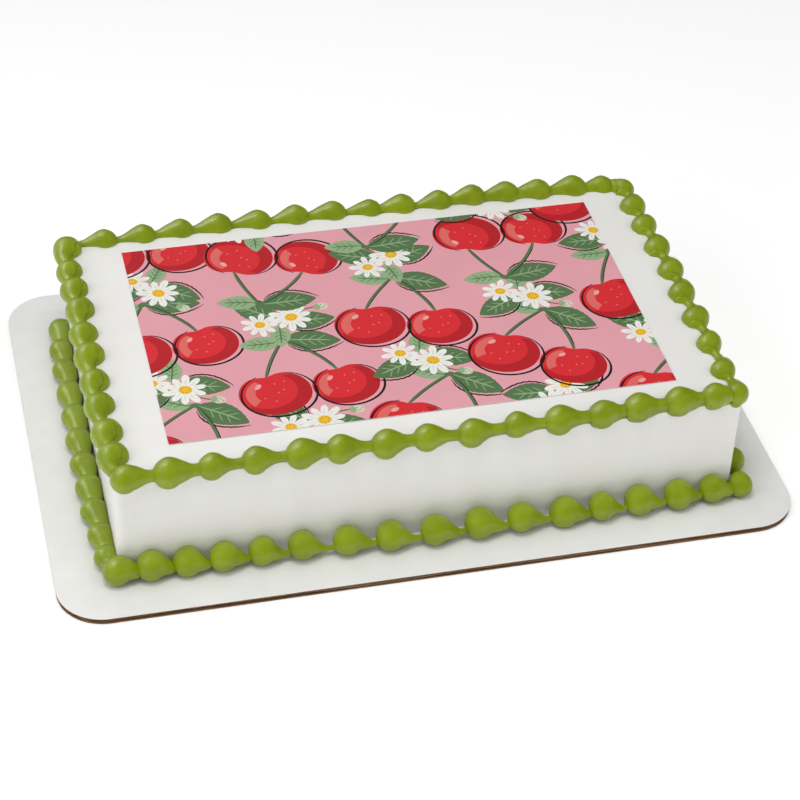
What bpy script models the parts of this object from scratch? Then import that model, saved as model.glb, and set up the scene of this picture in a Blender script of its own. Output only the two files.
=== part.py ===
"""Quarter-sheet cake on its corrugated board, with a printed top sheet and two piped bead borders.

Metres, +Z up. The origin is at the bottom centre of the board, +X runs along the long side
and -Y is the front. The cake and its icing are one solid, because it is uncut. Each border is
piped round the cake anticlockwise, seen from above, one side at a time. A bead is squeezed out
as a ball and drawn off to a tail, and the next ball covers the end of that tail.
"""
import math
import random

import bmesh
import bpy
from mathutils import Matrix, Vector

MM = 0.001
GAP = 0.3 * MM

BOARD_LENGTH = 350.0 * MM
BOARD_WIDTH = 244.0 * MM
BOARD_THICKNESS = 3.0 * MM
BOARD_CORNER_RADIUS = 22.0 * MM
BOARD_CORNER_SEGMENTS = 8

CAKE_LENGTH = 293.0 * MM
CAKE_WIDTH = 184.0 * MM
CAKE_TOP = 59.0 * MM
CAKE_CENTRE_X = 0.6 * MM
CAKE_CENTRE_Y = -1.7 * MM
CAKE_UPRIGHT_EDGE_RADIUS = 4.0 * MM
CAKE_TOP_EDGE_RADIUS = 2.0 * MM

PRINT_LENGTH = 239.0 * MM
PRINT_WIDTH = 149.0 * MM
PRINT_THICKNESS = 0.5 * MM
PRINT_CENTRE_X = 1.4 * MM
PRINT_CENTRE_Y = -0.4 * MM

# Each bead row's centre line lies this far outside the cake's side, at this height.
TOP_ROW_OUT = -1.2 * MM
TOP_ROW_HEIGHT = CAKE_TOP + 0.7 * MM
BASE_ROW_OUT = 5.6 * MM
BASE_ROW_HEIGHT = BOARD_THICKNESS + 6.5 * MM

HEAD_SIZE_SPREAD = 0.08
HEAD_DRIFT = 0.5 * MM
NECK_RADIUS = 2.4 * MM
BEAD_SIDES = 8

# How a bead narrows and sinks behind its head: distance, radius and drop, as shares of the
# head's radius.
TOP_TAPER = ((0.60, 0.80, 0.0), (1.10, 0.58, 0.0), (1.65, 0.43, 0.0))
BASE_TAPER = ((0.60, 0.81, 0.05), (1.10, 0.59, 0.18), (1.65, 0.40, 0.34))

# The rows, a side each: front, right, back and left. In millimetres: the heads' radius, how far
# the row strays outwards and then upwards at five even places along it, the seed of its small
# unevenness, and the step from each head to the next, from the side's corner head to the next
# side's. The base row's back end stops short of the left side.
TOP_ROWS = (
    (6.45, (0.9, 0.6, 0.1, -0.5, -1.2), (-1.6, -0.7, -0.8, -0.6, 0.8), 2419,
     (19.5, 19.5, 19.5, 20.5, 18, 21, 19, 21, 21.5, 20, 20.5, 17.5, 19.5, 17.5, 12.5)),
    (6.45, (-1.4, -1.1, -0.4, -1.1, -1.5), (-1.1, -1.1, -1.2, -1.2, -1.3), 7504,
     (17.5, 20.5, 20.5, 20.5, 19, 20, 19.5, 18, 17.5)),
    (6.4, (-2.8, -1.0, -0.8, -1.0, -3.6), (-1.2, -0.2, -1.8, -0.8, -1.4), 11429,
     (10, 15.5, 19, 17, 18, 18, 19, 17, 19, 19.5, 19.5, 20, 19.5, 19, 19.5, 19)),
    (6.7, (0.5, -0.6, -0.4, -0.6, -1.3), (-0.3, -0.3, -0.3, -0.3, -0.5), 6400,
     (18, 15.5, 17, 18.5, 17.5, 19.5, 17.5, 19.5, 16.5, 15.5)),
)
BASE_ROWS = (
    (6.7, (-0.6, 0.1, 1.7, 1.4, -0.5), (0.0, 0.1, 0.2, 0.1, 0.1), 4748,
     (15.5, 16.5, 16.5, 18, 18.5, 21, 20, 21, 21.5, 20, 21, 18.5, 18.5, 19.5, 17.5, 14.5)),
    (6.3, (0.8, 0.0, 0.0, 0.0, 0.0), (-0.4, -0.4, -0.4, -0.4, -0.4), 2869,
     (17.5, 18.5, 18.5, 17, 16.5, 18, 17.5, 16, 18.5, 17, 18.5)),
    (6.3, (0.0, 0.0, 0.0, 0.0, 0.0), (-0.4, -0.4, -0.4, -0.4, -0.4), 278,
     (16, 18, 19.5, 18, 17, 19, 18.5, 17.5, 19, 20, 18, 17.5, 19, 18.5, 17, 15, 10)),
    (5.3, (0.9, 1.1, 1.1, 0.8, -1.4), (-1.1, -1.1, -1.1, -1.1, -1.1), 6590,
     (16.5, 16.5, 18, 18.5, 18, 18, 17, 17, 16.5, 15.5, 11)),
)

# Each side's corner head, in millimetres: its place, how far it lies over the row's height, and
# its radius.
TOP_CORNERS = (
    (-140.9, -94.0, -0.9, 6.25), (145.5, -90.0, -0.5, 5.3),
    (145.2, 82.4, -1.5, 5.6), (-143.6, 81.0, 0.0, 6.8),
)
BASE_CORNERS = (
    (-147.0, -99.2, -0.2, 6.4), (151.5, -98.0, -1.2, 5.3),
    (150.5, 94.5, -0.4, 6.2), (-150.4, 84.0, -0.9, 5.4),
)

CAKE_LEFT = CAKE_CENTRE_X - CAKE_LENGTH / 2
CAKE_RIGHT = CAKE_CENTRE_X + CAKE_LENGTH / 2
CAKE_FRONT = CAKE_CENTRE_Y - CAKE_WIDTH / 2
CAKE_BACK = CAKE_CENTRE_Y + CAKE_WIDTH / 2


def clear_scene():
    """Remove whatever the scene holds."""
    for item in list(bpy.data.objects):
        bpy.data.objects.remove(item, do_unlink=True)


def make_material(name, colour, roughness):
    """A plain Principled material in the piece's colour."""
    material = bpy.data.materials.new(name)
    material.use_nodes = True
    shader = material.node_tree.nodes["Principled BSDF"]
    shader.inputs["Base Color"].default_value = (*colour, 1.0)
    shader.inputs["Roughness"].default_value = roughness
    shader.inputs["Metallic"].default_value = 0.0
    return material


def add_object(name, shape, material=None):
    """Turn a finished bmesh into a named object with its faces pointing out."""
    bmesh.ops.recalc_face_normals(shape, faces=shape.faces)
    mesh = bpy.data.meshes.new(name)
    shape.to_mesh(mesh)
    shape.free()
    item = bpy.data.objects.new(name, mesh)
    bpy.context.scene.collection.objects.link(item)
    if material:
        mesh.materials.append(material)
    return item


def add_cutter(name, shape):
    """A helper that only cuts room for a neighbour."""
    cutter = add_object(name, shape)
    cutter.hide_render = True
    cutter.display_type = "WIRE"
    return cutter


def block(low, high):
    """A block between two corners."""
    shape = bmesh.new()
    low, high = Vector(low), Vector(high)
    matrix = Matrix.Translation((low + high) / 2) @ Matrix.Diagonal((*(high - low), 1.0))
    bmesh.ops.create_cube(shape, size=1.0, matrix=matrix)
    return shape


def round_edges(shape, edges, radius, segments):
    """Round the given edges of a shape."""
    bmesh.ops.bevel(
        shape, geom=edges, offset=radius, offset_type="OFFSET", segments=segments,
        profile=0.5, affect="EDGES", material=-1, clamp_overlap=True,
    )


def upright_edges(shape):
    """The edges that stand along Z."""
    return [e for e in shape.edges if abs((e.verts[0].co - e.verts[1].co).normalized().z) > 0.99]


def make_board():
    """The cut sheet of corrugated card that carries the cake."""
    half_length, half_width = BOARD_LENGTH / 2, BOARD_WIDTH / 2
    shape = block((-half_length, -half_width, 0.0), (half_length, half_width, BOARD_THICKNESS))
    round_edges(shape, upright_edges(shape), BOARD_CORNER_RADIUS, BOARD_CORNER_SEGMENTS)
    return add_object("board", shape, make_material("board_white", (0.80, 0.79, 0.77), 0.55))


def make_cake():
    """The iced block, its upright and top edges rounded by the icing knife."""
    shape = block(
        (CAKE_LEFT, CAKE_FRONT, BOARD_THICKNESS + GAP),
        (CAKE_RIGHT, CAKE_BACK, CAKE_TOP),
    )
    round_edges(shape, upright_edges(shape), CAKE_UPRIGHT_EDGE_RADIUS, 5)
    top_face = max(shape.faces, key=lambda face: face.calc_center_median().z)
    round_edges(shape, list(top_face.edges), CAKE_TOP_EDGE_RADIUS, 2)
    return add_object("cake", shape, make_material("white_icing", (0.82, 0.81, 0.78), 0.5))


def make_print_sheet():
    """The thin sugar sheet with the printed picture, laid flat on the icing."""
    half_length, half_width = PRINT_LENGTH / 2, PRINT_WIDTH / 2
    bottom = CAKE_TOP + GAP
    shape = block(
        (PRINT_CENTRE_X - half_length, PRINT_CENTRE_Y - half_width, bottom),
        (PRINT_CENTRE_X + half_length, PRINT_CENTRE_Y + half_width, bottom + PRINT_THICKNESS),
    )
    return add_object("print_sheet", shape, make_material("printed_sugar", (0.72, 0.35, 0.38), 0.6))


def bead_stations(radius, step, taper):
    """Rings along one bead: distance from the head's centre, and the radius and drop there."""
    stations = [(-0.93, NECK_RADIUS / radius, 0.0), (-0.60, 0.80, 0.0), (0.0, 1.0, 0.0), *taper]
    next_ring = step / radius - 1.0
    return [[share * radius for share in station] for station in stations if station[0] < next_ring]


def stray(values, share):
    """A smooth bend through values at even places along a row."""
    place = share * (len(values) - 1)
    index = min(int(place), len(values) - 2)
    blend = place - index
    blend *= blend * (3 - 2 * blend)
    return (values[index] * (1 - blend) + values[index + 1] * blend) * MM


def pipe_beads(row, corner, out, line):
    """The heads of one side: distance along it, radius, step to the next, place out and up."""
    head_radius, stray_out, stray_up, seed, steps = row
    place = Vector(corner[:3]) * MM
    hand = random.Random(seed)
    beads = []
    distance = 0.0
    for index, step in enumerate(steps):
        radius = head_radius * MM * (1.0 + hand.uniform(-HEAD_SIZE_SPREAD, HEAD_SIZE_SPREAD))
        drift_out = hand.uniform(-HEAD_DRIFT, HEAD_DRIFT)
        drift_up = hand.uniform(-HEAD_DRIFT, HEAD_DRIFT)
        share = distance / sum(steps)
        row_out = line + stray(stray_out, share) + drift_out
        row_up = stray(stray_up, share) + drift_up
        if index == 0:
            radius = corner[3] * MM
            row_out = place.dot(out)
            row_up = place.z
        beads.append((distance * MM, radius, step * MM, row_out, row_up))
        distance += step
    return beads


def add_ring(shape, centre, out, up, radius):
    """One ring of a bead, square to the side's direction."""
    matrix = Matrix((out, up, out.cross(up))).transposed().to_4x4()
    matrix.translation = centre
    made = bmesh.ops.create_circle(
        shape, cap_ends=False, segments=BEAD_SIDES, radius=radius, matrix=matrix,
    )
    return list({edge for vert in made["verts"] for edge in vert.link_edges})


def make_border_side(name, corner, height, along, line, row, taper, material):
    """Pipe one side from its corner head up to the next corner.

    The corner head sits at its own point, and the others follow the line, which is the row's
    distance from the origin square to the side.
    """
    along = Vector(along)
    out = Vector((along.y, -along.x, 0.0))
    up = Vector((0.0, 0.0, 1.0))
    start = along * along.dot(corner[:3]) * MM + up * height
    vertex_reach = 1.0 / math.sqrt(math.cos(math.pi / BEAD_SIDES))
    shape = bmesh.new()
    rings = []
    for distance, radius, step, row_out, row_up in pipe_beads(row, corner, out, line):
        for offset, ring_radius, drop in bead_stations(radius, step, taper):
            centre = start + along * (distance + offset) + out * row_out + up * (row_up - drop)
            rings.append(add_ring(shape, centre, out, up, ring_radius * vertex_reach))
    head_radius, stray_out, stray_up, seed, steps = row
    end = start + along * (sum(steps) - 0.8 * head_radius) * MM
    end += out * (line + stray(stray_out, 1.0)) + up * stray(stray_up, 1.0)
    rings.append(add_ring(shape, end, out, up, NECK_RADIUS))
    for ring, next_ring in zip(rings, rings[1:]):
        bmesh.ops.bridge_loops(shape, edges=ring + next_ring)
    bmesh.ops.holes_fill(shape, edges=rings[0] + rings[-1], sides=BEAD_SIDES)
    return add_object(name, shape, material)


def cut_room(item, cutter):
    """Cut a neighbour's room out of a piece."""
    cut = item.modifiers.new(cutter.name, "BOOLEAN")
    cut.operation = "DIFFERENCE"
    cut.solver = "EXACT"
    cut.object = cutter


def make_border(level, row_out, height, corners, rows, taper, cutters, material):
    """Pipe the four sides of one border, and cut each clear of what it touches."""
    lines = (
        -CAKE_FRONT + row_out,
        CAKE_RIGHT + row_out,
        CAKE_BACK + row_out,
        -CAKE_LEFT + row_out,
    )
    directions = ((1, 0, 0), (0, 1, 0), (-1, 0, 0), (0, -1, 0))
    names = ("front", "right", "back", "left")
    for index, side in enumerate(names):
        name = f"{level}_border_{side}"
        item = make_border_side(
            name, corners[index], height, directions[index], lines[index], rows[index],
            taper, material,
        )
        for cutter in cutters:
            cut_room(item, cutter)
        following = corners[(index + 1) % 4]
        ball = bmesh.new()
        place = Matrix.Translation(Vector(following[:3]) * MM + Vector((0.0, 0.0, height)))
        bmesh.ops.create_icosphere(
            ball, subdivisions=2, radius=following[3] * MM * 1.12 + GAP, matrix=place,
        )
        cut_room(item, add_cutter(f"{name}_end_room", ball))


def make_borders():
    """The border along the cake's top edge and the one round its foot."""
    icing = make_material("green_icing", (0.24, 0.34, 0.03), 0.4)
    cake_room = add_cutter("cake_room", block(
        (CAKE_LEFT - GAP, CAKE_FRONT - GAP, -GAP),
        (CAKE_RIGHT + GAP, CAKE_BACK + GAP, CAKE_TOP + GAP),
    ))
    board_room = add_cutter("board_room", block(
        (-BOARD_LENGTH, -BOARD_WIDTH, -BOARD_THICKNESS),
        (BOARD_LENGTH, BOARD_WIDTH, BOARD_THICKNESS + GAP),
    ))
    make_border(
        "top", TOP_ROW_OUT, TOP_ROW_HEIGHT, TOP_CORNERS, TOP_ROWS, TOP_TAPER,
        (cake_room,), icing,
    )
    make_border(
        "base", BASE_ROW_OUT, BASE_ROW_HEIGHT, BASE_CORNERS, BASE_ROWS, BASE_TAPER,
        (cake_room, board_room), icing,
    )


clear_scene()
make_board()
make_cake()
make_print_sheet()
make_borders()
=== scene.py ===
"""A white-iced sheet cake on its corrugated board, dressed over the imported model."""
import cmath
import math
import random

import bmesh
import bpy
import numpy as np
from mathutils import Matrix, Vector, geometry, noise


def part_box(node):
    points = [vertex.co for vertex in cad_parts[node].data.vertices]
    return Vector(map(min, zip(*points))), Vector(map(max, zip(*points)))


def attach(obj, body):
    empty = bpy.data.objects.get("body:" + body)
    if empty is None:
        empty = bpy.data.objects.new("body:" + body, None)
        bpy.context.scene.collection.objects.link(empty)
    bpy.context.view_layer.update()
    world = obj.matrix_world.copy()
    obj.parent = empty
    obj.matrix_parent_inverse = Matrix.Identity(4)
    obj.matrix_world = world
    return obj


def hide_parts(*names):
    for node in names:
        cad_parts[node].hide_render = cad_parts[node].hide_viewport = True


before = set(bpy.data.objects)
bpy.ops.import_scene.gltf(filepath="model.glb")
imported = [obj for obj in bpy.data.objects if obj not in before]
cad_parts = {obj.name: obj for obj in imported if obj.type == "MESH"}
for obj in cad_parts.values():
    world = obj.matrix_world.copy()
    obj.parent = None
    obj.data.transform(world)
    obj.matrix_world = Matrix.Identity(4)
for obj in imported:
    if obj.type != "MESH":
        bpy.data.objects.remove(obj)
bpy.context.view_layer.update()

# Camera: a long lens, to the left of the cake's front and well above it, as for a catalogue.
# It leans a little, so the cake's front edge climbs to the right.
MM = 0.001
CAMERA_PLACE = (-221.17 * MM, -858.34 * MM, 731.36 * MM)
CAMERA_TURNS = (50.7061, -1.8684, -13.4055)
SENSOR_WIDTH = 36.0
LENS_LENGTH = 104.02
view_data = bpy.data.cameras.new("camera")
view_data.sensor_width = SENSOR_WIDTH
view_data.lens = LENS_LENGTH
camera = bpy.data.objects.new("camera", view_data)
camera.location = CAMERA_PLACE
camera.rotation_euler = [math.radians(turn) for turn in CAMERA_TURNS]
bpy.context.scene.collection.objects.link(camera)
bpy.context.scene.camera = camera

# Board: a sheet of single-wall corrugated card, die cut with round corners. Three papers are
# glued together: a liner with a white coated face, a fluted brown medium, and a plain brown
# liner. The flutes run along the board, and press through the white face as faint ridges.
board_low, board_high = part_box("board")
board_thickness = board_high.z - board_low.z
BOARD_CORNER = 22.0 * MM
LINER = 0.38 * MM
LINER_TRIM = 0.15 * MM
MEDIUM = 0.26 * MM
MEDIUM_TRIM = 0.10 * MM
FRAY_DEPTH = 0.10 * MM
FRAY_LENGTH = 2.5 * MM
FLUTE_PITCH = 6.7 * MM
FLUTE_DRIFT = 0.012
# How the flutes wander: a share of their pitch, the length that it takes, and where it starts.
FLUTE_WANDERS = ((0.10, 31.0 * MM, 0.0), (0.06, 12.0 * MM, 1.0))
flute_swing = (board_thickness - 2 * LINER - MEDIUM) / 2
RIDGE_DEPTH = 0.045 * MM
RIDGE_SHARPNESS = 1.5
ROWS_STRAIGHT = 190
ROWS_CORNER = 34
COLUMNS = 18


def plain_tint(red, green, blue):
    """A colour as it looks on a screen, 0 to 255, turned into the light it stands for."""
    return tuple(((v / 255 + 0.055) / 1.055) ** 2.4 for v in (red, green, blue)) + (1.0,)


def wave_turns(x, y):
    """How many flutes lie between the front edge and this point; they wander a little."""
    wander = sum(share * math.sin(x / length + start) for share, length, start in FLUTE_WANDERS)
    return (y - board_low.y - FLUTE_DRIFT * x) / FLUTE_PITCH + wander


def bottom_underside(x, y):
    """The bottom liner's lower face, which lies flat."""
    return 0.0


def medium_underside(x, y):
    """The fluted paper's lower face."""
    return LINER + flute_swing * (1.0 + math.sin(2 * math.pi * wave_turns(x, y)))


def top_underside(x, y):
    """The top liner's lower face, which the flutes' crests push up by a few hundredths."""
    crest = 0.5 + 0.5 * math.sin(2 * math.pi * wave_turns(x, y))
    return board_thickness - LINER - RIDGE_DEPTH * (1.0 - crest) ** RIDGE_SHARPNESS


def paper_outline(across, along, trim):
    """Where a point of the square grid, -1 to 1 both ways, lies on the round-cornered sheet."""
    half_length, half_width = board_high.x - trim, board_high.y - trim
    straight = half_width - BOARD_CORNER
    share = ROWS_STRAIGHT / (ROWS_STRAIGHT + ROWS_CORNER)
    if abs(along) <= share:
        return across * half_length, straight * along / share
    turn = (abs(along) - share) / (1.0 - share) * math.pi / 2
    reach = half_length - BOARD_CORNER + BOARD_CORNER * math.cos(turn)
    return across * reach, math.copysign(straight + BOARD_CORNER * math.sin(turn), along)


def make_object(name, shape, materials, smooth_below=None):
    """Turn a finished bmesh into an object with its faces pointing out."""
    bmesh.ops.recalc_face_normals(shape, faces=shape.faces)
    mesh = bpy.data.meshes.new(name)
    shape.to_mesh(mesh)
    shape.free()
    for material in materials:
        mesh.materials.append(material)
    if smooth_below is not None:
        mesh.shade_smooth()
        mesh.set_sharp_from_angle(angle=math.radians(smooth_below))
    item = bpy.data.objects.new(name, mesh)
    bpy.context.scene.collection.objects.link(item)
    return item


def cut_paper(name, thickness, underside_at, trim, materials):
    """One of the board's papers: a grid laid to the outline, lifted, and given its thickness."""
    sheet = bmesh.new()
    rows = 2 * (ROWS_STRAIGHT + ROWS_CORNER)
    bmesh.ops.create_grid(sheet, x_segments=COLUMNS, y_segments=rows, size=1.0)
    for vert in sheet.verts:
        at_edge = max(abs(vert.co.x), abs(vert.co.y)) > 0.999
        x, y = paper_outline(vert.co.x, vert.co.y, trim)
        underside = underside_at(x, y)
        if at_edge and trim > 0:
            fray = FRAY_DEPTH * noise.noise(Vector((x, y, 0.0)) / FRAY_LENGTH)
            pull = 1.0 - abs(fray) / board_high.y
            x, y = x * pull, y * pull
        vert.co = (x, y, underside)
    lifted = bmesh.ops.extrude_face_region(sheet, geom=sheet.faces[:])
    moved = [part for part in lifted["geom"] if isinstance(part, bmesh.types.BMVert)]
    bmesh.ops.translate(sheet, verts=moved, vec=(0.0, 0.0, thickness))
    bmesh.ops.recalc_face_normals(sheet, faces=sheet.faces)
    if len(materials) > 1:
        for face in sheet.faces:
            face.material_index = 0 if face.normal.z > 0.5 else 1
    return make_object(name, sheet, materials, smooth_below=40)


def start_material(name):
    """A new material, its node tree and its Principled shader."""
    material = bpy.data.materials.new(name)
    material.use_nodes = True
    tree = material.node_tree
    return material, tree, tree.nodes["Principled BSDF"]


def add_node(tree, kind, settings=None, **inputs):
    """Add a node, set it up, and set or join its inputs; spaces in their names are underlines."""
    node = tree.nodes.new(kind)
    for key, value in (settings or {}).items():
        setattr(node, key, value)
    for key, value in inputs.items():
        socket = node.inputs[key.replace("_", " ")]
        if isinstance(value, bpy.types.NodeSocket):
            tree.links.new(value, socket)
        else:
            socket.default_value = value
    return node


def stretched_noise(tree, place, stretch, scale, detail=2.0, roughness=0.5):
    """Noise in object space, stretched along the axes; its value runs from 0 to 1."""
    mapping = add_node(tree, "ShaderNodeMapping", Vector=place, Scale=stretch)
    grain = add_node(
        tree, "ShaderNodeTexNoise", Vector=mapping.outputs["Vector"],
        Scale=scale, Detail=detail, Roughness=roughness,
    )
    return grain.outputs["Fac"]


def add_up(tree, grain, share, rest):
    """One height, made of a share of the first and the whole of the second."""
    both = add_node(tree, "ShaderNodeMath", {"operation": "MULTIPLY_ADD"})
    tree.links.new(grain, both.inputs[0])
    both.inputs[1].default_value = share
    tree.links.new(rest, both.inputs[2])
    return both.outputs["Value"]


def make_mottle_group():
    """Faint unevenness for icing, sugar and paper: cloudy tone, and a height of lumps and pores."""
    group = bpy.data.node_groups.new("mottle", "ShaderNodeTree")
    for socket, usual in (("Cloud Scale", 60.0), ("Lump Scale", 300.0), ("Pore Scale", 1500.0)):
        made = group.interface.new_socket(socket, in_out="INPUT", socket_type="NodeSocketFloat")
        made.default_value = usual
    group.interface.new_socket("Tone", in_out="OUTPUT", socket_type="NodeSocketFloat")
    group.interface.new_socket("Height", in_out="OUTPUT", socket_type="NodeSocketFloat")
    source = group.nodes.new("NodeGroupInput")
    result = group.nodes.new("NodeGroupOutput")
    place = group.nodes.new("ShaderNodeTexCoord").outputs["Object"]
    cloud, lump, pore = (
        add_node(
            group, "ShaderNodeTexNoise", Vector=place, Scale=source.outputs[scale], Detail=detail,
        ).outputs["Fac"]
        for scale, detail in (("Cloud Scale", 3.0), ("Lump Scale", 2.0), ("Pore Scale", 1.0))
    )
    group.links.new(cloud, result.inputs["Tone"])
    group.links.new(add_up(group, pore, 0.25, lump), result.inputs["Height"])
    return group


mottle = make_mottle_group()


def add_mottle(tree, cloud, lump, pore):
    """Place the mottle group in a material; the scales are waves per metre."""
    node = tree.nodes.new("ShaderNodeGroup")
    node.node_tree = mottle
    node.inputs["Cloud Scale"].default_value = cloud
    node.inputs["Lump Scale"].default_value = lump
    node.inputs["Pore Scale"].default_value = pore
    return node


def blend_tints(tree, share, dark, light):
    """A colour between two, by noise whose middle range is spread over the whole blend."""
    ramp = add_node(tree, "ShaderNodeValToRGB", Fac=share)
    for stop, position, colour in zip(ramp.color_ramp.elements, (0.3, 0.7), (dark, light)):
        stop.position = position
        stop.color = colour
    return ramp.outputs["Color"]


def raise_surface(tree, shader, height, depth):
    """Let a height from 0 to 1 stand up by the given depth in metres."""
    bump = add_node(tree, "ShaderNodeBump", Height=height, Distance=depth, Strength=1.0)
    tree.links.new(bump.outputs["Normal"], shader.inputs["Normal"])


def make_coated_white():
    """The board's white face: smooth coated paper with a faint tooth."""
    material, tree, shader = start_material("coated_white")
    spots = add_mottle(tree, cloud=90.0, lump=700.0, pore=3500.0)
    tone = blend_tints(
        tree, spots.outputs["Tone"], plain_tint(231, 230, 228), plain_tint(235, 234, 233),
    )
    tree.links.new(tone, shader.inputs["Base Color"])
    shader.inputs["Roughness"].default_value = 0.42
    raise_surface(tree, shader, spots.outputs["Height"], 0.02 * MM)
    return material


def make_kraft():
    """Brown paper: long fibres that run with the flutes, and darker flecks between them."""
    material, tree, shader = start_material("kraft_paper")
    place = tree.nodes.new("ShaderNodeTexCoord").outputs["Object"]
    fibre = stretched_noise(tree, place, (0.12, 1.0, 1.0), 2200.0, detail=3.0, roughness=0.6)
    patch = stretched_noise(tree, place, (0.3, 1.0, 1.0), 260.0)
    mixed = add_node(tree, "ShaderNodeMix", {"data_type": "FLOAT"}, Factor=0.4)
    tree.links.new(fibre, mixed.inputs[2])
    tree.links.new(patch, mixed.inputs[3])
    tone = blend_tints(tree, mixed.outputs[0], plain_tint(112, 82, 54), plain_tint(158, 124, 90))
    tree.links.new(tone, shader.inputs["Base Color"])
    shader.inputs["Roughness"].default_value = 0.85
    raise_surface(tree, shader, fibre, 0.05 * MM)
    return material


kraft = make_kraft()
papers = (
    cut_paper("board_bottom_liner", LINER, bottom_underside, LINER_TRIM, [kraft]),
    cut_paper("board_fluting", MEDIUM, medium_underside, MEDIUM_TRIM, [kraft]),
    cut_paper("board_top_liner", LINER, top_underside, 0.0, [make_coated_white(), kraft]),
)
for paper in papers:
    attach(paper, "root")
    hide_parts("board")

# Cake: an uncut block under white buttercream, spread on with a long knife and smoothed. Its
# faces are almost flat, with shallow swells from the knife. The front right edge was drawn off
# sharp, and the others are worn round.
cake_low, cake_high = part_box("cake")
print_low, print_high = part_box("print_sheet")
UPRIGHT_EDGE = 4.0 * MM
SHARP_EDGE = 1.2 * MM
TOP_EDGE = 2.2 * MM
ICING_CELL = 4.0 * MM
SWELL = 0.12 * MM
SWELL_SINK = 0.9
LONG_SWELL = 38.0 * MM
SHORT_SWELL = 11.0 * MM
SHORT_SHARE = 0.35
FOOT_HEIGHT = 6.0 * MM
FLAT_MARGIN = 8.0 * MM


def block_between(low, high):
    """A block between two corners."""
    shape = bmesh.new()
    matrix = Matrix.Translation((low + high) / 2) @ Matrix.Diagonal((*(high - low), 1.0))
    bmesh.ops.create_cube(shape, size=1.0, matrix=matrix)
    return shape


def round_over(shape, edges, radius, steps):
    """Round some edges of a shape."""
    bmesh.ops.bevel(
        shape, geom=edges, offset=radius, offset_type="OFFSET", segments=steps,
        profile=0.5, affect="EDGES", material=-1, clamp_overlap=True,
    )


def slice_evenly(shape, axis, start, stop, cell):
    """Cut a shape into slices of about one cell each, so it can be moved point by point."""
    count = round((stop - start) / cell)
    normal = Vector((0.0, 0.0, 0.0))
    normal[axis] = 1.0
    for index in range(1, count):
        point = Vector((0.0, 0.0, 0.0))
        point[axis] = start + (stop - start) * index / count
        geom = shape.verts[:] + shape.edges[:] + shape.faces[:]
        bmesh.ops.bisect_plane(shape, geom=geom, dist=1e-6, plane_co=point, plane_no=normal)


def far_from_print(point):
    """0 under the printed sheet, where the icing is flat, to 1 some way outside it."""
    gap = max(
        print_low.x - point.x, point.x - print_high.x,
        print_low.y - point.y, point.y - print_high.y,
    )
    share = min(max(gap / FLAT_MARGIN, 0.0), 1.0)
    return share * share * (3.0 - 2.0 * share)


def spread_icing():
    """The iced block; its swells only sink, and fade out at its foot and towards the print."""
    body = block_between(Vector((cake_low.x, cake_low.y, board_high.z)), cake_high)
    upright = [e for e in body.edges if abs((e.verts[0].co - e.verts[1].co).normalized().z) > 0.9]
    sharp = [e for e in upright if e.verts[0].co.x > 0 > e.verts[0].co.y]
    round_over(body, [e for e in upright if e not in sharp], UPRIGHT_EDGE, steps=8)
    round_over(body, sharp, SHARP_EDGE, steps=6)
    top = max(body.faces, key=lambda face: face.calc_center_median().z)
    round_over(body, list(top.edges), TOP_EDGE, steps=5)
    for axis in range(3):
        slice_evenly(body, axis, cake_low[axis], cake_high[axis], ICING_CELL)
    body.normal_update()
    for vert in body.verts:
        swell = noise.noise(vert.co / LONG_SWELL) + SHORT_SHARE * noise.noise(vert.co / SHORT_SWELL)
        free = far_from_print(vert.co) if vert.normal.z > 0.7 else 1.0
        foot = min((vert.co.z - board_high.z) / FOOT_HEIGHT, 1.0)
        vert.co += vert.normal * (SWELL * (swell - SWELL_SINK) * free * foot)
    return body


def make_white_icing():
    """Buttercream: a soft satin white, slightly warm, with faint knife lines and tiny pores."""
    material, tree, shader = start_material("white_buttercream")
    spots = add_mottle(tree, cloud=25.0, lump=240.0, pore=1800.0)
    tone = blend_tints(
        tree, spots.outputs["Tone"], plain_tint(237, 235, 231), plain_tint(241, 240, 237),
    )
    tree.links.new(tone, shader.inputs["Base Color"])
    place = tree.nodes.new("ShaderNodeTexCoord").outputs["Object"]
    knife = stretched_noise(tree, place, (0.05, 0.6, 1.0), 420.0)
    shader.inputs["Roughness"].default_value = 0.48
    shader.inputs["Subsurface Weight"].default_value = 0.25
    shader.inputs["Subsurface Radius"].default_value = (1.0, 0.9, 0.7)
    shader.inputs["Subsurface Scale"].default_value = 1.5 * MM
    raise_surface(tree, shader, add_up(tree, knife, 0.8, spots.outputs["Height"]), 0.03 * MM)
    return material


cake = make_object("iced_cake", spread_icing(), [make_white_icing()], smooth_below=60)
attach(cake, "root")
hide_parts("cake")

# Printed sheet: a thin sheet of sugar paste printed with food colours, laid on the fresh icing.
# The print is cherries, leaves and daisies in a half-drop repeat, cut off at the sheet's edge.
# It is drawn in millimetres, and each colour becomes a field of faces in one flat sheet.
PRINT_THICKNESS = 0.28 * MM
PRINT_FACE = print_low.z + 0.17 * MM
COLUMN_STEP = 59.0
DROP = 78.0
FIRST_MOTIF = (8.0, 4.0)
MOTIF_STRAY = 1.5
MOTIF_TURN = 24
CHERRY_LINE = 1.15
LEAF_LINE = 0.95
LEAF_STEPS = 36
STEPS_IN_TOOTH = 4
CHERRY_DOTS = (
    (-0.1, -0.35), (0.28, 0.05), (-0.35, -0.12), (0.12, 0.38), (0.1, -0.02), (0.42, 0.4),
)
PETAL_EDGE = (
    (0.12, 0.05), (0.30, 0.115), (0.55, 0.165), (0.78, 0.170), (0.92, 0.120), (1.0, 0.035),
)
BUD_DOTS = ((17.9, 15.6), (19.6, 14.3), (18.9, 13.2), (20.3, 15.7))
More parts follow.
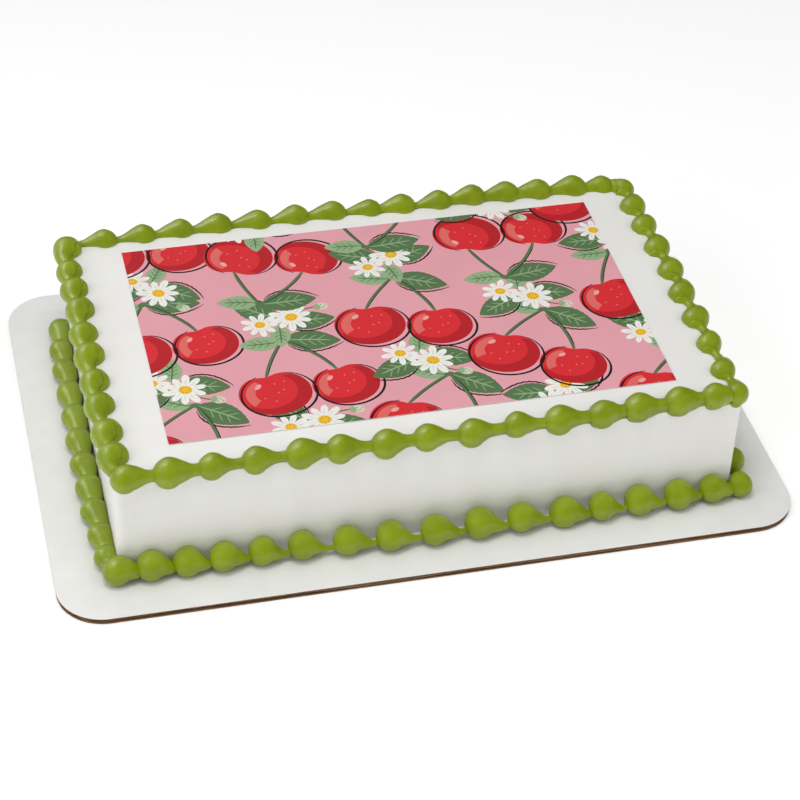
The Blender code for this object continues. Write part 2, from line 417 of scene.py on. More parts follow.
INKS = {
    "pink": plain_tint(231, 164, 174),
    "red": plain_tint(220, 42, 50),
    "dark red": plain_tint(186, 28, 37),
    "coral": plain_tint(226, 106, 100),
    "blush": plain_tint(240, 168, 162),
    "dark green": plain_tint(88, 120, 77),
    "light green": plain_tint(149, 178, 134),
    "cream": plain_tint(214, 210, 188),
    "white": plain_tint(240, 240, 234),
    "yellow": plain_tint(241, 192, 45),
    "amber": plain_tint(214, 140, 38),
    "black": plain_tint(28, 20, 20),
}
layers = [("pink", [
    complex(x / MM, y / MM) for x, y in (
        (print_low.x, print_low.y), (print_high.x, print_low.y),
        (print_high.x, print_high.y), (print_low.x, print_high.y),
    )
])]


def placed(x, y, turn, flip):
    """Where a motif's own points lie on the sheet."""
    spin = cmath.exp(1j * math.radians(turn))
    centre = complex(x, y)
    return lambda point: centre + spin * (point.conjugate() if flip else point)


def ink(colour, outline, place):
    """Print one field of colour over what is there, its outline turned anticlockwise."""
    points = [place(point) for point in outline]
    turns = zip(points, points[1:] + points[:1])
    area = sum(a.real * b.imag - a.imag * b.real for a, b in turns)
    layers.append((colour, points if area > 0 else points[::-1]))


def along_bend(start, middle, end, count=14):
    """Points on a bent line."""
    steps = [index / count for index in range(count + 1)]
    return [start * (1 - t) ** 2 + 2 * middle * t * (1 - t) + end * t ** 2 for t in steps]


def stroke(line, width, tip=0.3):
    """A brush line of some width that thins towards both ends."""
    left, right = [], []
    for index, point in enumerate(line):
        before, after = line[max(index - 1, 0)], line[min(index + 1, len(line) - 1)]
        side = 1j * (after - before) / abs(after - before)
        share = index / (len(line) - 1)
        half = width / 2 * (tip + (1 - tip) * min(1.0, 5 * min(share, 1 - share)))
        left.append(point + side * half)
        right.append(point - side * half)
    return left + right[::-1]


def oval(centre, wide, tall, count, turn=0.0):
    """An oval outline."""
    spin = cmath.exp(1j * math.radians(turn))
    angles = [2 * math.pi * index / count for index in range(count)]
    return [centre + spin * complex(wide / 2 * math.cos(a), tall / 2 * math.sin(a)) for a in angles]


def cherry_edge(centre, radius, angle):
    """A point on a cherry's outline, which dips where the stem goes in."""
    dip = math.exp(-((angle - math.pi / 2) / 0.42) ** 2)
    wide = 1.0 + 0.05 * math.cos(2 * angle)
    return centre + radius * (wide - 0.20 * dip) * cmath.exp(1j * angle)


def print_cherry(centre, radius, place):
    """A cherry with its shaded side, its bright side, a glint, and a loose ink line round it."""
    def arc(first, last, scale=1.0, shift=0j, count=26):
        angles = [math.radians(first + (last - first) * i / count) for i in range(count + 1)]
        return [cherry_edge(centre + shift, radius * scale, a) for a in angles]

    ink("red", arc(-90, 262, count=40), place)
    shade = arc(-150, 40) + arc(40, -150, 0.80, complex(-0.16 * radius, 0.14 * radius))
    ink("dark red", shade, place)
    bright = arc(118, 206, 0.80) + arc(206, 118, 0.48, complex(-0.05 * radius, 0.05 * radius))
    ink("coral", bright, place)
    glint = centre + radius * complex(-0.36, 0.42)
    ink("blush", oval(glint, radius * 0.26, radius * 0.15, 14, 40), place)
    for across, up in CHERRY_DOTS:
        dot = centre + radius * complex(across, up)
        ink("coral", oval(dot, radius * 0.07, radius * 0.07, 8), place)
    line = arc(-250, 62, 1.03, complex(0.09 * radius, -0.08 * radius), 44)
    ink("black", stroke(line, CHERRY_LINE), place)


def leaf_outline(length, width):
    """A leaf from its foot at the origin to its tip along +X, with shallow teeth."""
    def side(sign):
        points = []
        for index in range(1, LEAF_STEPS):
            share = index / LEAF_STEPS
            belly = math.sin(math.pi * share ** 0.85) ** 0.8
            tooth = 0.07 * ((index % STEPS_IN_TOOTH) / STEPS_IN_TOOTH - 0.4)
            points.append(complex(length * share, sign * (width / 2 * belly * (1 + tooth))))
        return points
    return [0j] + side(-1) + [complex(length, 0)] + side(1)[::-1]


def print_leaf(foot, turn, length, width, place, pale=False):
    """A leaf with a midrib and side veins; a dark one has a loose ink line along one side."""
    blade, veins = ("light green", "dark green") if pale else ("dark green", "light green")
    spin = cmath.exp(1j * math.radians(turn))

    def on_leaf(point):
        return place(foot + spin * point)

    outline = leaf_outline(length, width)
    if not pale:
        half = outline[:len(outline) // 2 + 1]
        line = [point * 1.04 + complex(0.2, -0.035 * length) for point in half[2:]]
        ink("black", stroke(line, LEAF_LINE), on_leaf)
    ink(blade, outline, on_leaf)
    midrib = along_bend(0j, complex(length * 0.5, width * 0.04), complex(length * 0.82, 0))
    ink(veins, stroke(midrib, 0.8), on_leaf)
    for share in (0.26, 0.42, 0.58):
        for sign in (-1, 1):
            start = complex(length * share, 0)
            end = start + complex(length * 0.15, sign * width * 0.27)
            vein = along_bend(start, (start + end) / 2 + 0.4j * sign, end, 5)
            ink(veins, stroke(vein, 0.45), on_leaf)


def print_daisy(centre, size, turn, petals, place):
    """A daisy: narrow white petals with a crease each, round a yellow heart of dots."""
    for index in range(petals):
        spin = cmath.exp(1j * math.radians(turn + 360 * index / petals))
        reach = size * (0.94 + 0.12 * ((index * 5) % 3) / 2)
        edge = [complex(a, -b) for a, b in PETAL_EDGE] + [complex(a, b) for a, b in PETAL_EDGE[::-1]]
        ink("white", [centre + spin * reach * point for point in edge], place)
        crease = along_bend(0.34 + 0.01j, 0.5 + 0.02j, 0.68 + 0.01j, 4)
        ink("cream", [centre + spin * reach * point for point in stroke(crease, 0.035)], place)
    ink("yellow", oval(centre, size * 0.62, size * 0.56, 18, turn), place)
    for index in range(7):
        seat = centre + size * 0.19 * cmath.exp(1j * math.radians(51.4 * index + turn))
        ink("amber", oval(seat, size * 0.085, size * 0.085, 8), place)


def print_cherry_pair(place):
    """Two cherries hanging from one spur, with two leaves over it."""
    spur = complex(1, 26)
    left = (complex(-16.5, -9.5), 16.4, -3)
    right = (complex(16.5, -15), 15.2, 5)
    print_leaf(spur + complex(1, 0), -22, 27, 15, place)
    print_leaf(spur + complex(-1, -1), 168, 20, 11, place, pale=True)
    for centre, radius, pull in (left, right):
        foot = centre + complex(0, radius * 0.72)
        middle = (spur + foot) / 2 + pull
        ink("dark green", stroke(along_bend(spur, middle, foot), 1.5, 0.7), place)
        ink("black", stroke(along_bend(spur + 1.0, middle + 1.3, foot + 0.8), 0.5), place)
    for centre, radius, _ in (right, left):
        print_cherry(centre, radius, place)
    ink("dark green", oval(spur, 5.0, 3.4, 12, 20), place)


def print_daisy_spray(place):
    """Two daisies and a bud on a bed of leaves."""
    print_leaf(complex(-2, 2), 158, 25, 14, place)
    print_leaf(complex(2, -1), 18, 25, 14, place)
    print_leaf(complex(0, -3), -78, 17, 10, place, pale=True)
    twig = along_bend(complex(4, 4), complex(9, 12), complex(17, 14))
    ink("dark green", stroke(twig, 0.9, 0.7), place)
    ink("cream", oval(complex(18.5, 14.5), 6.5, 5.4, 14, 20), place)
    ink("light green", oval(complex(16.4, 13.6), 3.4, 4.6, 10, 20), place)
    for across, up in BUD_DOTS:
        ink("dark green", oval(complex(across, up), 0.7, 0.7, 6), place)
    print_daisy(complex(-9, -4), 9.0, 12, 9, place)
    print_daisy(complex(5, 4), 10.5, 30, 10, place)


hand = random.Random(41)
for column in range(-2, 3):
    for row in range(-2, 3):
        x = FIRST_MOTIF[0] + COLUMN_STEP * column + hand.uniform(-MOTIF_STRAY, MOTIF_STRAY)
        y = FIRST_MOTIF[1] + DROP * (row / 2) + hand.uniform(-MOTIF_STRAY, MOTIF_STRAY)
        turn = hand.uniform(-MOTIF_TURN, MOTIF_TURN)
        place_here = placed(x, y, turn, flip=hand.random() < 0.5)
        if (column + row) % 2:
            print_daisy_spray(place_here)
        else:
            print_cherry_pair(place_here)


def lay_print():
    """Cut the sheet along every printed outline, and colour each part by its topmost ink."""
    corners, fields = [], []
    for _, outline in layers:
        first = len(corners)
        corners += [Vector((point.real, point.imag)) for point in outline]
        fields.append(list(range(first, len(corners))))
    points, _, faces, _, _, owners = geometry.delaunay_2d_cdt(corners, [], fields, 1, 1e-4)
    sheet = bmesh.new()
    colour_layer = sheet.loops.layers.float_color.new("ink")
    verts = [sheet.verts.new((point.x * MM, point.y * MM, PRINT_FACE)) for point in points]
    for corner_ids, owner in zip(faces, owners):
        if 0 not in owner:
            continue
        face = sheet.faces.new([verts[index] for index in corner_ids])
        colour = INKS[layers[max(owner)][0]]
        for loop in face.loops:
            loop[colour_layer] = colour
    loose = [vert for vert in sheet.verts if not vert.link_faces]
    bmesh.ops.delete(sheet, geom=loose, context="VERTS")
    lowered = bmesh.ops.extrude_face_region(sheet, geom=sheet.faces[:])
    moved = [part for part in lowered["geom"] if isinstance(part, bmesh.types.BMVert)]
    bmesh.ops.translate(sheet, verts=moved, vec=(0.0, 0.0, -PRINT_THICKNESS))
    bmesh.ops.recalc_face_normals(sheet, faces=sheet.faces)
    for face in sheet.faces:
        if abs(face.normal.z) < 0.5:
            for loop in face.loops:
                loop[colour_layer] = INKS["white"]
    return sheet


def make_printed_sugar():
    """Food colours soaked into sugar paste: matte, with a fine grain."""
    material, tree, shader = start_material("printed_sugar")
    colour = add_node(tree, "ShaderNodeVertexColor", {"layer_name": "ink"}).outputs["Color"]
    spots = add_mottle(tree, cloud=40.0, lump=900.0, pore=3000.0)
    soak = blend_tints(tree, spots.outputs["Tone"], (0.95, 0.95, 0.95, 1.0), (1.0, 1.0, 1.0, 1.0))
    soaked = add_node(tree, "ShaderNodeMix", {"data_type": "RGBA", "blend_type": "MULTIPLY"})
    soaked.inputs[0].default_value = 1.0
    tree.links.new(colour, soaked.inputs[6])
    tree.links.new(soak, soaked.inputs[7])
    tree.links.new(soaked.outputs[2], shader.inputs["Base Color"])
    shader.inputs["Roughness"].default_value = 0.62
    shader.inputs["Specular IOR Level"].default_value = 0.15
    raise_surface(tree, shader, spots.outputs["Height"], 0.015 * MM)
    return material


print_sheet = make_object("printed_sheet", lay_print(), [make_printed_sugar()])
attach(print_sheet, "root")
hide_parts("print_sheet")

# Bead borders: green buttercream piped from a round tube, along the cake's top edge and round
# its foot, anticlockwise. Each bead is squeezed out as a ball and drawn off to a tail, whose end
# the next ball covers and presses out a little as a lip.
HEAD_SIZE_SPREAD = 0.08
HEAD_DRIFT = 0.5 * MM
BEAD_SIDES = 96
BEAD_RINGS = 56
SEAT_GAP = 0.04 * MM
TOP_ROW_OUT = -1.2 * MM
TOP_ROW_HEIGHT = cake_high.z + 0.7 * MM
BASE_ROW_OUT = 5.6 * MM
BASE_ROW_HEIGHT = board_high.z + 6.5 * MM
# The share of a bead's rings that its ball's front half takes, and how much longer the tail is
# drawn from a corner's ball.
HEAD_SHARE = 0.32
CORNER_DRAWN_OUT = 1.25
# The unevenness of one bead against the next: its tail's thickness and length as factors, the
# tail's sway outwards and upwards as shares of the ball's radius, the crease's depth as a factor,
# and how far the whole is from round.
TAIL_THICKNESS = (0.95, 1.06)
TAIL_STRETCH = (0.96, 1.16)
TAIL_SWAY_OUT = 0.05
TAIL_SWAY_UP = 0.04
CREASE_CHANGE = (0.6, 1.25)
OUT_OF_ROUND = 0.015
# Where a tail meets the next ball, in that ball's radii before its centre: where the tail starts
# to bend to it, where the lip is and how wide, and where the tail ends. The lip goes inwards and
# downwards by shares of its own height.
BEND_AT = 1.1
LIP_AT = 0.74
LIP_WIDTH = 0.30
LIP_SHIFT_IN = 0.9
LIP_SHIFT_DOWN = 0.3
TAIL_END = 0.35
# How tail and ball run together, in the ball's radii: the fillet's height and its reach, and how
# far behind the ball's centre the bead's own middle line has moved over to the tail's. The smooth
# side's edge is soft: the fillet fades out over a part of the way round.
FILLET = 0.085
FILLET_REACH = 0.34
SMOOTH_SIDE_EDGE = 1.4
MOVED_OVER = 0.9
# The crease, in the ball's radii: how far to the row's inner side it starts, how much nearer to
# the middle it comes and over what length, and where it opens and over what length. It closes
# before the next ball. The widths of its two flanks are in radians. The last two values keep it
# off a bead's poles: the thinnest body that it is laid on, and how far out on it.
CREASE_INWARDS = -0.76
CREASE_SLANT = 0.22
CREASE_RUN = 1.3
CREASE_OPENS = 0.45
CREASE_OPENING = 0.8
CREASE_CLOSES = 0.6
CREASE_WIDTHS = (0.16, 0.22)
CREASE_THINNEST = 0.01
CREASE_OUTERMOST = 0.97
# The rows, a side each: front, right, back and left. In millimetres: the balls' radius, how far
# the row strays outwards and then upwards at five even places along it, the seed of its small
# unevenness, and the step from ball to ball.
TOP_ROWS = (
    (6.45, (0.9, 0.6, 0.1, -0.5, -1.2), (-1.6, -0.7, -0.8, -0.6, 0.8), 2419,
     (19.5, 19.5, 19.5, 20.5, 18, 21, 19, 21, 21.5, 20, 20.5, 17.5, 19.5, 17.5, 12.5)),
    (6.45, (-1.4, -1.1, -0.4, -1.1, -1.5), (-1.1, -1.1, -1.2, -1.2, -1.3), 7504,
     (17.5, 20.5, 20.5, 20.5, 19, 20, 19.5, 18, 17.5)),
    (6.4, (-2.8, -1.0, -0.8, -1.0, -3.6), (-1.2, -0.2, -1.8, -0.8, -1.4), 11429,
     (10, 15.5, 19, 17, 18, 18, 19, 17, 19, 19.5, 19.5, 20, 19.5, 19, 19.5, 19)),
    (6.7, (0.5, -0.6, -0.4, -0.6, -1.3), (-0.3, -0.3, -0.3, -0.3, -0.5), 6400,
     (18, 15.5, 17, 18.5, 17.5, 19.5, 17.5, 19.5, 16.5, 15.5)),
)
BASE_ROWS = (
    (6.7, (-0.6, 0.1, 1.7, 1.4, -0.5), (0.0, 0.1, 0.2, 0.1, 0.1), 4748,
     (15.5, 16.5, 16.5, 18, 18.5, 21, 20, 21, 21.5, 20, 21, 18.5, 18.5, 19.5, 17.5, 14.5)),
    (6.3, (0.8, 0.0, 0.0, 0.0, 0.0), (-0.4, -0.4, -0.4, -0.4, -0.4), 2869,
     (17.5, 18.5, 18.5, 17, 16.5, 18, 17.5, 16, 18.5, 17, 18.5)),
    (6.3, (0.0, 0.0, 0.0, 0.0, 0.0), (-0.4, -0.4, -0.4, -0.4, -0.4), 278,
     (16, 18, 19.5, 18, 17, 19, 18.5, 17.5, 19, 20, 18, 17.5, 19, 18.5, 17, 15, 10)),
    (5.3, (0.9, 1.1, 1.1, 0.8, -1.4), (-1.1, -1.1, -1.1, -1.1, -1.1), 6590,
     (16.5, 16.5, 18, 18.5, 18, 18, 17, 17, 16.5, 15.5, 11)),
)
# Each side's corner ball, in millimetres: its place, how far it lies over the row's height, and
# its radius.
TOP_CORNERS = (
    (-140.9, -94.0, -0.9, 6.25), (145.5, -90.0, -0.5, 5.3),
    (145.2, 82.4, -1.5, 5.6), (-143.6, 81.0, 0.0, 6.8),
)
BASE_CORNERS = (
    (-147.0, -99.2, -0.2, 6.4), (151.5, -98.0, -1.2, 5.3),
    (150.5, 94.5, -0.4, 6.2), (-150.4, 84.0, -0.9, 5.4),
)
# How a tail runs behind its ball, a side each: distance from the ball's centre, the tail's
# radius, and its shift outwards and upwards, all as shares of the ball's radius.
TOP_TAILS = (
    ((-0.6, 0.50, 0.0, 0.0), (0.0, 0.95, -0.02, 0.03), (0.45, 0.88, -0.03, 0.07),
     (0.75, 0.77, -0.04, 0.07), (1.0, 0.64, -0.04, 0.05), (1.3, 0.48, -0.03, 0.02),
     (1.7, 0.40, -0.01, 0.0), (2.4, 0.38, 0.0, 0.0)),
    ((-0.6, 0.50, 0.0, 0.0), (0.0, 0.93, 0.07, 0.03), (0.4, 0.87, 0.14, 0.05),
     (0.7, 0.77, 0.22, 0.05), (1.0, 0.62, 0.28, 0.03), (1.3, 0.46, 0.29, 0.0),
     (1.7, 0.36, 0.22, 0.0), (2.4, 0.34, 0.10, 0.0)),
    ((-0.6, 0.50, 0.0, 0.0), (0.0, 0.95, 0.04, 0.04), (0.5, 0.86, 0.08, 0.08),
     (1.0, 0.71, 0.06, 0.04), (1.5, 0.56, 0.02, -0.06), (2.0, 0.44, -0.02, -0.14),
     (2.6, 0.36, -0.04, -0.18)),
    ((-0.6, 0.60, 0.0, 0.0), (-0.3, 0.90, 0.04, 0.02), (0.0, 0.98, 0.07, 0.04),
     (0.4, 0.88, 0.17, 0.06), (0.75, 0.70, 0.27, 0.07), (1.05, 0.56, 0.30, 0.04),
     (1.4, 0.48, 0.24, 0.0), (2.0, 0.43, 0.12, 0.0)),
)
BASE_TAIL = (
    (-0.6, 0.50, 0.0, 0.0), (0.0, 0.94, 0.0, 0.02), (0.45, 0.86, 0.0, 0.05),
    (0.75, 0.72, 0.02, 0.03), (1.0, 0.59, 0.06, -0.12), (1.25, 0.43, 0.10, -0.23),
    (1.5, 0.28, 0.14, -0.31), (1.8, 0.21, 0.16, -0.35), (2.4, 0.19, 0.16, -0.36),
)
BASE_LEFT_TAIL = (
    (-0.6, 0.55, 0.0, 0.0), (0.0, 0.96, -0.02, 0.0), (0.4, 0.92, -0.05, 0.0),
    (0.8, 0.84, -0.09, -0.02), (1.2, 0.73, -0.14, -0.06), (1.6, 0.63, -0.16, -0.10),
    (2.1, 0.57, -0.16, -0.12),
)
BASE_TAILS = (BASE_TAIL, BASE_TAIL, BASE_TAIL, BASE_LEFT_TAIL)
# What the tube leaves on each side's beads: the way, outwards and upwards, in which tail and ball
# run together smoothly; the crease's depth and the lip's height, as shares of a ball's radius; how
# long the ball's front half is; and how wide the bead's inner side spreads against the wall.
TOP_MARKS = (
    ((-0.7, 0.7), 0.0, 0.05, 1.0, 1.0), ((1.0, 0.0), 0.0, 0.30, 1.0, 1.0),
    ((0.7, 0.7), 0.0, 0.08, 1.0, 1.0), ((0.97, -0.25), 0.22, 0.03, 1.0, 1.0),
)
BASE_MARKS = (
    ((-0.5, 0.85), 0.0, 0.03, 1.0, 1.14), ((-0.5, 0.85), 0.0, 0.05, 1.0, 1.14),
    ((-0.5, 0.85), 0.0, 0.03, 1.0, 1.14), ((0.97, -0.25), 0.0, 0.03, 1.25, 1.30),
)
# The faces that the beads sit on: each one's axis, its place, and the sign of the way into the
# cake.
CAKE_FACES = (
    (0, cake_low.x - SEAT_GAP, 1), (0, cake_high.x + SEAT_GAP, -1),
    (1, cake_low.y - SEAT_GAP, 1), (1, cake_high.y + SEAT_GAP, -1),
    (2, cake_high.z + SEAT_GAP, -1),
)

# A plain ball is the pattern for every bead: each of its points has a turn from the front pole
# to the back one, 0 to 1, and an angle round the bead.
plain_ball = bpy.data.meshes.new("plain_ball")
ball_shape = bmesh.new()
bmesh.ops.create_uvsphere(ball_shape, u_segments=BEAD_SIDES, v_segments=BEAD_RINGS, radius=1.0)
ball_shape.to_mesh(plain_ball)
ball_unit = np.array([vert.co for vert in ball_shape.verts])
ball_turns = np.arccos(np.clip(-ball_unit[:, 2], -1, 1)) / math.pi
ball_rounds = np.arctan2(ball_unit[:, 1], ball_unit[:, 0])
ball_shape.free()


def smooth_curve(places, values, at):
    """A smooth line through some knots, worked out at an array of places."""
    slopes = np.gradient(values, places)
    index = np.clip(np.searchsorted(places, at) - 1, 0, len(places) - 2)
    span = places[index + 1] - places[index]
    share = np.clip((at - places[index]) / span, 0.0, 1.0)
    start, end = values[index], values[index + 1]
    rise, fall = slopes[index] * span, slopes[index + 1] * span
    return (
        start * (1 + 2 * share) * (1 - share) ** 2 + rise * share * (1 - share) ** 2
        + end * share ** 2 * (3 - 2 * share) + fall * share ** 2 * (share - 1)
    )


def reach_to_circle(origin_out, origin_up, out, up, centre_out, centre_up, radius):
    """How far a circle's rim lies from an origin, in given directions; 0 where it is missed."""
    away_out, away_up = origin_out - centre_out, origin_up - centre_up
    along = away_out * out + away_up * up
    inside = along ** 2 - (away_out ** 2 + away_up ** 2 - radius ** 2)
    return np.where(inside > 0, -along + np.sqrt(np.maximum(inside, 0.0)), 0.0)


def tail_course(radius, step, neighbour, tail, lip, uneven, behind):
    """The tail's middle line, outwards and upwards, and its radius, at distances behind its ball."""
    next_radius, shift_out, shift_up = neighbour
    thickness, stretch, sway_out, sway_up = uneven
    reached = behind / radius
    knots = np.array(tail)
    width, knot_out, knot_up = (
        radius * smooth_curve(knots[:, 0] * stretch, knots[:, column], reached)
        for column in (1, 2, 3)
    )
    share = np.clip(behind / step, 0.0, 1.0)
    fade = np.clip((step - behind) / (BEND_AT * next_radius), 0.0, 1.0)
    started = np.clip(reached, 0.0, 1.0)
    ahead = (step - behind) / next_radius
    press = lip * next_radius * np.exp(-((ahead - LIP_AT) / LIP_WIDTH) ** 2)
    sway_out, sway_up = sway_out * radius * started, sway_up * radius * started
    tail_out = shift_out * share + (knot_out + sway_out) * fade - LIP_SHIFT_IN * press
    tail_up = shift_up * share + (knot_up + sway_up) * fade - LIP_SHIFT_DOWN * press
    tail_radius = width * (1.0 + (thickness - 1.0) * started) + press
    tip = np.clip((step - TAIL_END * next_radius - behind) / (TAIL_END * next_radius), 0.0, 1.0)
    tail_radius *= np.sqrt(np.clip(1 - (1 - tip) ** 2, 0, 1))
    return tail_out, tail_up, np.where(reached < tail[0][0], 0.0, tail_radius)


def crease_groove(crease, radius, body, origin_out, reached, ahead):
    """How deep the crease is round the bead, as a share of the ball's radius."""
    crease_at = (CREASE_INWARDS + CREASE_SLANT * np.clip(reached, 0.0, CREASE_RUN)) * radius
    across = (crease_at - origin_out) / np.maximum(body, CREASE_THINNEST * radius)
    turned = ball_rounds - np.arccos(np.clip(across, -CREASE_OUTERMOST, CREASE_OUTERMOST))
    opened = np.clip((reached + CREASE_OPENS) / CREASE_OPENING, 0.0, 1.0)
    opened = opened * np.clip(ahead - CREASE_CLOSES, 0.0, 1.0)
    return crease * np.exp(-(turned / np.where(turned > 0, *CREASE_WIDTHS)) ** 2) * opened


def bead_points(radius, step, neighbour, tail, marks, drawn_out, hand):
    """Where the plain ball's points lie on a bead: distance behind its centre, out, and up.

    The neighbour is the next ball's radius and its shift outwards and upwards.
    """
    smooth_way, crease, lip, head, spread = marks
    thickness = hand.uniform(*TAIL_THICKNESS)
    stretch = drawn_out * hand.uniform(*TAIL_STRETCH)
    sway_out = hand.uniform(-TAIL_SWAY_OUT, TAIL_SWAY_OUT)
    sway_up = hand.uniform(-TAIL_SWAY_UP, TAIL_SWAY_UP)
    oval_turn = hand.uniform(0.0, math.pi)
    crease *= hand.uniform(*CREASE_CHANGE)
    in_head = ball_turns <= HEAD_SHARE
    head_angle = np.clip(ball_turns / HEAD_SHARE, 0, 1) * math.pi / 2
    length = step - TAIL_END * neighbour[0]
    behind = np.where(
        in_head, -radius * head * np.cos(head_angle),
        (ball_turns - HEAD_SHARE) / (1 - HEAD_SHARE) * length,
    )
    uneven = (thickness, stretch, sway_out, sway_up)
    tail_out, tail_up, tail_radius = tail_course(
        radius, step, neighbour, tail, lip, uneven, behind,
    )
    in_ball = np.where(in_head, behind / head, behind)
    ball_radius = np.sqrt(np.maximum(radius ** 2 - in_ball ** 2, 0.0))
    reached = behind / radius
    follow = np.clip(reached / MOVED_OVER, 0.0, 1.0)
    follow = follow ** 2 * (3 - 2 * follow)
    origin_out, origin_up = tail_out * follow, tail_up * follow
    out, up = np.cos(ball_rounds), np.sin(ball_rounds)
    ball = reach_to_circle(origin_out, origin_up, out, up, 0.0, 0.0, ball_radius)
    drawn = reach_to_circle(origin_out, origin_up, out, up, tail_out, tail_up, tail_radius)
    body = np.maximum(ball, drawn)
    facing = out * smooth_way[0] + up * smooth_way[1]
    smooth_side = np.clip(0.5 + SMOOTH_SIDE_EDGE * facing, 0.0, 1.0)
    apart = np.abs(ball - drawn) / radius
    fillet = FILLET * smooth_side * np.clip(1.0 - apart / FILLET_REACH, 0.0, 1.0) ** 2
    ahead = (step - behind) / neighbour[0]
    groove = crease_groove(crease, radius, body, origin_out, reached, ahead)
    reach = body + radius * (fillet - groove)
    reach *= 1.0 + OUT_OF_ROUND * np.cos(2 * (ball_rounds - oval_turn))
    outwards = origin_out + reach * out
    outwards = np.where(outwards < 0, spread * outwards, outwards)
    return behind, outwards, origin_up + reach * up


def keep_off_cake(points, rest_on_board):
    """Press what would lie inside the cake or the board flat against its face."""
    depth = np.stack([inwards * (points[:, axis] - face) for axis, face, inwards in CAKE_FACES])
    inside = depth.min(axis=0) > 0
    nearest = depth.argmin(axis=0)
    for index, (axis, face, _) in enumerate(CAKE_FACES):
        points[inside & (nearest == index), axis] = face
    if rest_on_board:
        points[:, 2] = np.maximum(points[:, 2], board_high.z + SEAT_GAP)
    return points


def stray(values, share):
    """A smooth bend through values at even places along a row."""
    place = share * (len(values) - 1)
    index = min(int(place), len(values) - 2)
    blend = place - index
    blend *= blend * (3 - 2 * blend)
    return (values[index] * (1 - blend) + values[index + 1] * blend) * MM


def make_green_icing():
    """Coloured buttercream: a satin olive green with a soft sheen and a few tiny air marks."""
    material, tree, shader = start_material("green_buttercream")
    spots = add_mottle(tree, cloud=120.0, lump=420.0, pore=2200.0)
    tone = blend_tints(
        tree, spots.outputs["Tone"], plain_tint(126, 145, 6), plain_tint(142, 160, 16),
    )
    tree.links.new(tone, shader.inputs["Base Color"])
    shader.inputs["Roughness"].default_value = 0.36
    shader.inputs["Subsurface Weight"].default_value = 0.2
    shader.inputs["Subsurface Radius"].default_value = (0.8, 1.0, 0.2)
    shader.inputs["Subsurface Scale"].default_value = 1.5 * MM
    raise_surface(tree, shader, spots.outputs["Height"], 0.035 * MM)
    return material


green_icing = make_green_icing()


def pipe_side(name, corner, along, line, height, row, tail, marks, on_board):
    """Pipe one side, from its corner's ball up to the next corner's."""
    along = Vector(along)
    out = Vector((along.y, -along.x, 0.0))
    head_radius, stray_out, stray_up, seed, steps = row
    place = Vector(corner[:3]) * MM
    rng = random.Random(seed)
    balls = []
    for index, step in enumerate(steps):
        radius = head_radius * MM * (1.0 + rng.uniform(-HEAD_SIZE_SPREAD, HEAD_SIZE_SPREAD))
        drift_out = rng.uniform(-HEAD_DRIFT, HEAD_DRIFT)
        drift_up = rng.uniform(-HEAD_DRIFT, HEAD_DRIFT)
        share = sum(steps[:index]) / sum(steps)
        row_out = line + stray(stray_out, share) + drift_out
        row_up = stray(stray_up, share) + drift_up
        if index == 0:
            radius = corner[3] * MM
            row_out = place.dot(out)
            row_up = place.z
        balls.append((radius, row_out, height + row_up, step * MM))
    balls.append((head_radius * MM, line + stray(stray_out, 1), height + stray(stray_up, 1), 0.0))
    border = bmesh.new()
    distance = place.dot(along)
    drawn_out = CORNER_DRAWN_OUT
    hand = random.Random(seed + 100)
    for ball, following in zip(balls, balls[1:]):
        radius, row_out, row_up, step = ball
        neighbour = (following[0], following[1] - row_out, following[2] - row_up)
        behind, outwards, upwards = bead_points(
            radius, step, neighbour, tail, marks, drawn_out, hand,
        )
        points = (
            np.outer(distance + behind, along) + np.outer(row_out + outwards, out)
            + np.outer(row_up + upwards, (0.0, 0.0, 1.0))
        )
        points = keep_off_cake(points, on_board)
        plain_ball.vertices.foreach_set("co", points.ravel())
        border.from_mesh(plain_ball)
        distance += step
        drawn_out = 1.0
    return make_object(name, border, [green_icing], smooth_below=75)


SIDES = (
    ("front", (1, 0, 0), -cake_low.y), ("right", (0, 1, 0), cake_high.x),
    ("back", (-1, 0, 0), cake_high.y), ("left", (0, -1, 0), -cake_low.x),
)
LEVELS = (
    ("top", TOP_ROWS, TOP_CORNERS, TOP_ROW_OUT, TOP_ROW_HEIGHT, TOP_TAILS, TOP_MARKS),
    ("base", BASE_ROWS, BASE_CORNERS, BASE_ROW_OUT, BASE_ROW_HEIGHT, BASE_TAILS, BASE_MARKS),
)
for level, rows, corners, row_out, row_height, tails, all_marks in LEVELS:
    for index, (side, along, wall) in enumerate(SIDES):
        border = pipe_side(
            f"{level}_beads_{side}", corners[index], along, wall + row_out, row_height,
            rows[index], tails[index], all_marks[index], on_board=level == "base",
        )
        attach(border, "root")
        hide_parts(f"{level}_border_{side}")

# Studio: a white floor that runs out of sight, and broad soft lamps. Some lamps only light the
# surfaces, and others, behind and to the left, only show in them as a soft sheen.
FLOOR_REACH = 6.0
FLOOR_DROP = 0.3 * MM
FLOOR_GLOW = 0.27
SKY_STRENGTH = 0.27
AIM_POINT = Vector((0.0, 0.0, 0.03))
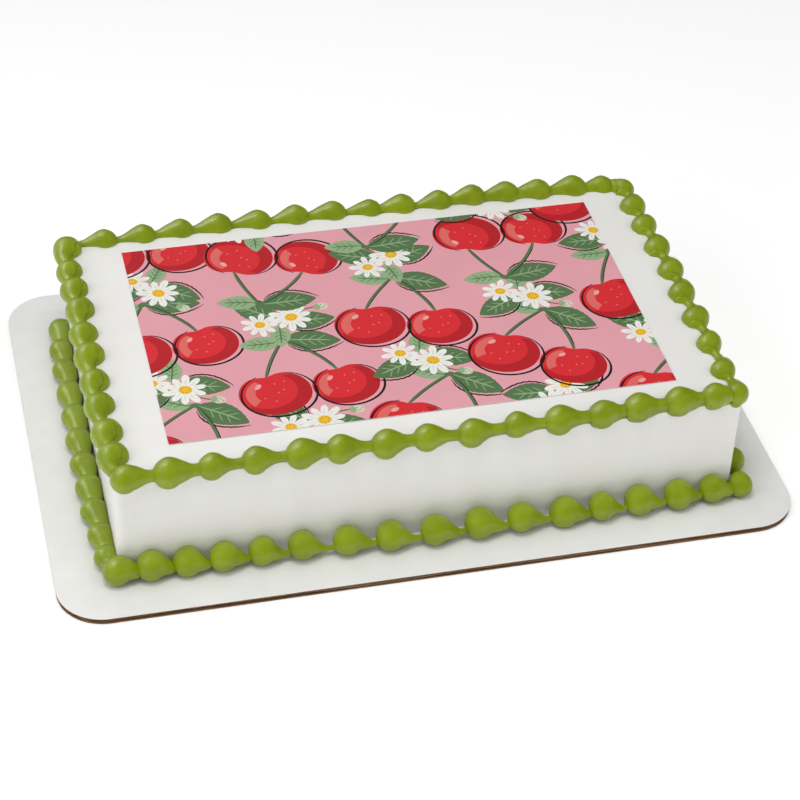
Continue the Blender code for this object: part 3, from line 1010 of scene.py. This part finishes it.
# Name, power in watts, size and place in metres, whether it lights, and whether it shows.
LAMPS = (
    ("key_above", 6.2, 0.50, (-0.17, -0.29, 1.29), True, False),
    ("left", 2.5, 0.90, (-1.06, 0.0, 0.78), True, True),
    ("front_left", 3.7, 0.90, (-0.90, -0.63, 0.72), True, False),
    ("front_right", 2.7, 0.90, (0.76, -0.64, 0.87), True, False),
    ("right", 1.25, 0.90, (1.00, 0.10, 0.85), True, False),
    ("sheen_core", 5.0, 0.45, (-0.65, 0.37, 1.09), False, True),
    ("back_left_sheen", 6.0, 1.20, (-0.72, 0.80, 0.76), False, True),
    ("back_sheen", 4.0, 1.20, (-0.20, 0.82, 1.02), False, True),
)
floor_shape = bmesh.new()
bmesh.ops.create_grid(floor_shape, x_segments=1, y_segments=1, size=FLOOR_REACH)
bmesh.ops.translate(floor_shape, verts=floor_shape.verts, vec=(0.0, 0.0, -FLOOR_DROP))
floor_material, _, floor_shader = start_material("floor_white")
floor_shader.inputs["Base Color"].default_value = (0.93, 0.93, 0.93, 1.0)
floor_shader.inputs["Roughness"].default_value = 0.9
floor_shader.inputs["Emission Color"].default_value = (1.0, 1.0, 1.0, 1.0)
floor_shader.inputs["Emission Strength"].default_value = FLOOR_GLOW
floor = make_object("floor", floor_shape, [floor_material])

for name, power, size, place, lights, shows in LAMPS:
    lamp_data = bpy.data.lights.new(name, "AREA")
    lamp_data.energy = power
    lamp_data.size = size
    lamp = bpy.data.objects.new(name, lamp_data)
    lamp.location = place
    lamp.visible_diffuse = lights
    lamp.visible_glossy = shows
    lamp.rotation_euler = (AIM_POINT - Vector(place)).to_track_quat("-Z", "Y").to_euler()
    bpy.context.scene.collection.objects.link(lamp)

world = bpy.data.worlds.new("studio")
world.use_nodes = True
sky = world.node_tree.nodes["Background"]
sky.inputs["Color"].default_value = (1.0, 1.0, 1.0, 1.0)
sky.inputs["Strength"].default_value = SKY_STRENGTH
world.cycles_visibility.glossy = False
bpy.context.scene.world = world
bpy.context.scene.view_settings.view_transform = "Standard"
